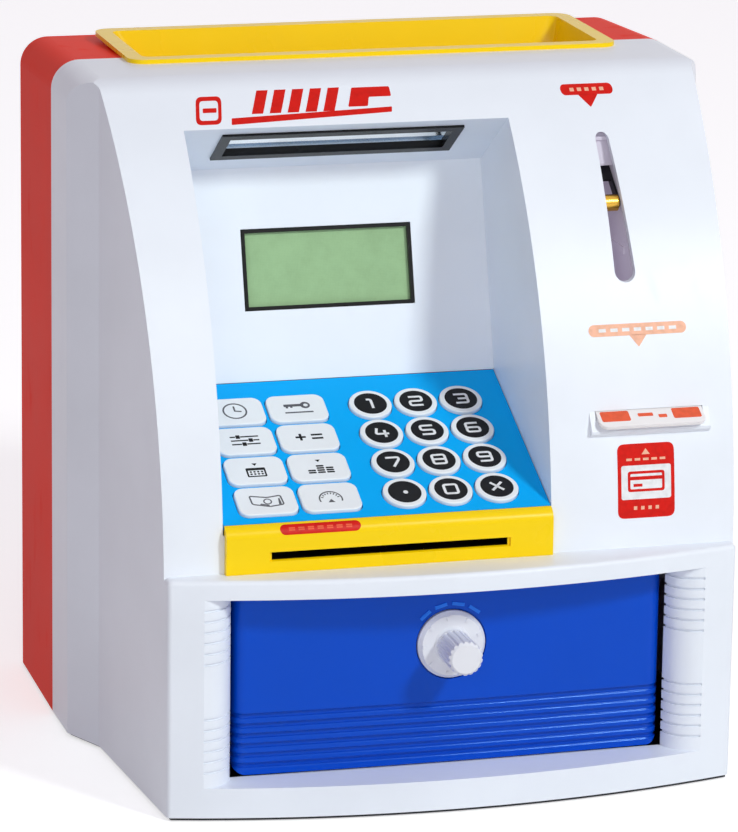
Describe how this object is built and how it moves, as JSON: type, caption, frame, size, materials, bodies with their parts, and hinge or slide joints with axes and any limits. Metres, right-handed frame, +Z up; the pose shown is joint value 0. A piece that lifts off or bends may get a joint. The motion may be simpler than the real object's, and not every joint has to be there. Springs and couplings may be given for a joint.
{
  "type": "toy cash machine savings bank",
  "caption": "Toy cash machine money bank with keypad, display, note slot, coin slot, card slot, top tray and dial-locked drawer.",
  "frame": {"origin": "middle of the footprint, at the table", "axes": "+Z up, -Y out of the front with the keypad and drawer, +X to the right seen from the front"},
  "size_m": [0.2276, 0.1996, 0.2397],
  "materials": {
    "front_housing": "white moulded",
    "rear_housing": "red moulded",
    "base_plate": "dark moulded",
    "battery_cover": "dark moulded",
    "batteries": "plain cell sleeve",
    "battery_contacts": "plated spring strip",
    "rubber_feet": "matt",
    "keypad_plate": "blue moulded",
    "keypad_membrane": "translucent mat",
    "keypad_board": "board laminate",
    "note_slot_bezel": "yellow moulded",
    "feed_chassis": "dark moulded",
    "feed_gearmotor": "zinc can and case",
    "lcd_frame": "black",
    "lcd_glass": "green display",
    "lamp_bezel": "black",
    "lamp_reflector": "metallised",
    "lamp_tube": "frosted",
    "coin_chute": "white moulded",
    "coin_lever_pin": "ground",
    "card_guide": "white moulded",
    "top_tray": "yellow moulded",
    "speaker": "paper cone and frame",
    "housing_screws": "zinc",
    "base_screws": "zinc",
    "battery_cover_screw": "zinc",
    "chassis_screws": "zinc",
    "keypad_screws": "zinc",
    "drawer": "blue moulded",
    "drawer_dial": "white moulded",
    "latch_cam": "dark moulded",
    "latch_screw": "zinc",
    "coin_lever": "dark moulded",
    "coin_roller": "turned",
    "drive_shaft": "ground",
    "drive_tyres": "matt",
    "pressure_shaft": "ground",
    "pressure_rollers": "white moulded",
    "bank_card": "printed card",
    "key_caps": "white moulded"
  },
  "bodies": {
    "casing": {"front_housing": "front_housing", "rear_housing": "rear_housing", "base_plate": "base_plate", "battery_cover": "battery_cover", "batteries": "batteries", "battery_contacts": "battery_contacts", "rubber_feet": "rubber_feet", "keypad_plate": "keypad_plate", "keypad_membrane": "keypad_membrane", "keypad_board": "keypad_board", "note_slot_bezel": "note_slot_bezel", "feed_chassis": "feed_chassis", "feed_gearmotor": "feed_gearmotor", "lcd_frame": "lcd_frame", "lcd_glass": "lcd_glass", "lamp_bezel": "lamp_bezel", "lamp_reflector": "lamp_reflector", "lamp_tube": "lamp_tube", "coin_chute": "coin_chute", "coin_lever_pin": "coin_lever_pin", "card_guide": "card_guide", "top_tray": "top_tray", "speaker": "speaker", "housing_screws": "housing_screws", "base_screws": "base_screws", "battery_cover_screw": "battery_cover_screw", "chassis_screws": "chassis_screws", "keypad_screws": "keypad_screws"},
    "cash_drawer": {"drawer": "drawer"},
    "dial_and_latch": {"drawer_dial": "drawer_dial", "latch_cam": "latch_cam", "latch_screw": "latch_screw"},
    "coin_gate": {"coin_lever": "coin_lever", "coin_roller": "coin_roller"},
    "drive_roller": {"drive_shaft": "drive_shaft", "drive_tyres": "drive_tyres"},
    "pressure_roller": {"pressure_shaft": "pressure_shaft", "pressure_rollers": "pressure_rollers"},
    "card": {"bank_card": "bank_card"},
    "number_key_1_body": {"number_key_1": "key_caps"},
    "number_key_2_body": {"number_key_2": "key_caps"},
    "number_key_3_body": {"number_key_3": "key_caps"},
    "function_key_1_body": {"function_key_1": "key_caps"},
    "function_key_2_body": {"function_key_2": "key_caps"},
    "number_key_4_body": {"number_key_4": "key_caps"},
    "number_key_5_body": {"number_key_5": "key_caps"},
    "number_key_6_body": {"number_key_6": "key_caps"},
    "function_key_3_body": {"function_key_3": "key_caps"},
    "function_key_4_body": {"function_key_4": "key_caps"},
    "number_key_7_body": {"number_key_7": "key_caps"},
    "number_key_8_body": {"number_key_8": "key_caps"},
    "number_key_9_body": {"number_key_9": "key_caps"},
    "function_key_5_body": {"function_key_5": "key_caps"},
    "function_key_6_body": {"function_key_6": "key_caps"},
    "number_key_dot_body": {"number_key_dot": "key_caps"},
    "number_key_0_body": {"number_key_0": "key_caps"},
    "clear_key_body": {"clear_key": "key_caps"},
    "function_key_7_body": {"function_key_7": "key_caps"},
    "function_key_8_body": {"function_key_8": "key_caps"}
  },
  "joints": [
    {"name": "drawer_slide", "type": "slide", "parent": "casing", "child": "cash_drawer", "axis": [0, -1, 0], "range_m": [0, 0.1]},
    {"name": "dial_turn", "type": "hinge", "parent": "cash_drawer", "child": "dial_and_latch", "pos_m": [0, -0.08005, 0.0544], "axis": [0, 1, 0], "continuous": true},
    {"name": "coin_gate_swing", "type": "hinge", "parent": "casing", "child": "coin_gate", "pos_m": [0.0666, -0.02205, 0.208], "axis": [1, 0, 0], "range_deg": [0, 28], "stiffness_Nm_per_rad": 0.002, "springref_deg": -11.46},
    {"name": "drive_roller_spin", "type": "hinge", "parent": "casing", "child": "drive_roller", "pos_m": [-0.0215, -0.05005, 0.09475], "axis": [1, 0, 0], "continuous": true},
    {"name": "pressure_roller_spin", "type": "hinge", "parent": "casing", "child": "pressure_roller", "pos_m": [-0.0215, -0.05005, 0.08595], "axis": [1, 0, 0], "continuous": true},
    {"name": "card_slide", "type": "slide", "parent": "casing", "child": "card", "axis": [0, -0.8829, -0.4695], "range_m": [0, 0.03]},
    {"name": "number_key_1_press", "type": "slide", "parent": "casing", "child": "number_key_1_body", "axis": [0, 0.4004, -0.9164], "range_m": [0, 0.001], "stiffness_N_per_m": 400, "springref_m": -0.0005},
    {"name": "number_key_2_press", "type": "slide", "parent": "casing", "child": "number_key_2_body", "axis": [0, 0.4004, -0.9164], "range_m": [0, 0.001], "stiffness_N_per_m": 400, "springref_m": -0.0005},
    {"name": "number_key_3_press", "type": "slide", "parent": "casing", "child": "number_key_3_body", "axis": [0, 0.4004, -0.9164], "range_m": [0, 0.001], "stiffness_N_per_m": 400, "springref_m": -0.0005},
    {"name": "function_key_1_press", "type": "slide", "parent": "casing", "child": "function_key_1_body", "axis": [0, 0.4004, -0.9164], "range_m": [0, 0.001], "stiffness_N_per_m": 400, "springref_m": -0.0005},
    {"name": "function_key_2_press", "type": "slide", "parent": "casing", "child": "function_key_2_body", "axis": [0, 0.4004, -0.9164], "range_m": [0, 0.001], "stiffness_N_per_m": 400, "springref_m": -0.0005},
    {"name": "number_key_4_press", "type": "slide", "parent": "casing", "child": "number_key_4_body", "axis": [0, 0.4004, -0.9164], "range_m": [0, 0.001], "stiffness_N_per_m": 400, "springref_m": -0.0005},
    {"name": "number_key_5_press", "type": "slide", "parent": "casing", "child": "number_key_5_body", "axis": [0, 0.4004, -0.9164], "range_m": [0, 0.001], "stiffness_N_per_m": 400, "springref_m": -0.0005},
    {"name": "number_key_6_press", "type": "slide", "parent": "casing", "child": "number_key_6_body", "axis": [0, 0.4004, -0.9164], "range_m": [0, 0.001], "stiffness_N_per_m": 400, "springref_m": -0.0005},
    {"name": "function_key_3_press", "type": "slide", "parent": "casing", "child": "function_key_3_body", "axis": [0, 0.4004, -0.9164], "range_m": [0, 0.001], "stiffness_N_per_m": 400, "springref_m": -0.0005},
    {"name": "function_key_4_press", "type": "slide", "parent": "casing", "child": "function_key_4_body", "axis": [0, 0.4004, -0.9164], "range_m": [0, 0.001], "stiffness_N_per_m": 400, "springref_m": -0.0005},
    {"name": "number_key_7_press", "type": "slide", "parent": "casing", "child": "number_key_7_body", "axis": [0, 0.4004, -0.9164], "range_m": [0, 0.001], "stiffness_N_per_m": 400, "springref_m": -0.0005},
    {"name": "number_key_8_press", "type": "slide", "parent": "casing", "child": "number_key_8_body", "axis": [0, 0.4004, -0.9164], "range_m": [0, 0.001], "stiffness_N_per_m": 400, "springref_m": -0.0005},
    {"name": "number_key_9_press", "type": "slide", "parent": "casing", "child": "number_key_9_body", "axis": [0, 0.4004, -0.9164], "range_m": [0, 0.001], "stiffness_N_per_m": 400, "springref_m": -0.0005},
    {"name": "function_key_5_press", "type": "slide", "parent": "casing", "child": "function_key_5_body", "axis": [0, 0.4004, -0.9164], "range_m": [0, 0.001], "stiffness_N_per_m": 400, "springref_m": -0.0005},
    {"name": "function_key_6_press", "type": "slide", "parent": "casing", "child": "function_key_6_body", "axis": [0, 0.4004, -0.9164], "range_m": [0, 0.001], "stiffness_N_per_m": 400, "springref_m": -0.0005},
    {"name": "number_key_dot_press", "type": "slide", "parent": "casing", "child": "number_key_dot_body", "axis": [0, 0.4004, -0.9164], "range_m": [0, 0.001], "stiffness_N_per_m": 400, "springref_m": -0.0005},
    {"name": "number_key_0_press", "type": "slide", "parent": "casing", "child": "number_key_0_body", "axis": [0, 0.4004, -0.9164], "range_m": [0, 0.001], "stiffness_N_per_m": 400, "springref_m": -0.0005},
    {"name": "clear_key_press", "type": "slide", "parent": "casing", "child": "clear_key_body", "axis": [0, 0.4004, -0.9164], "range_m": [0, 0.001], "stiffness_N_per_m": 400, "springref_m": -0.0005},
    {"name": "function_key_7_press", "type": "slide", "parent": "casing", "child": "function_key_7_body", "axis": [0, 0.4004, -0.9164], "range_m": [0, 0.001], "stiffness_N_per_m": 400, "springref_m": -0.0005},
    {"name": "function_key_8_press", "type": "slide", "parent": "casing", "child": "function_key_8_body", "axis": [0, 0.4004, -0.9164], "range_m": [0, 0.001], "stiffness_N_per_m": 400, "springref_m": -0.0005}
  ],
  "couplings": [
    {"joint": "pressure_roller_spin", "follows": "drive_roller_spin", "ratio": -1.125}
  ]
}
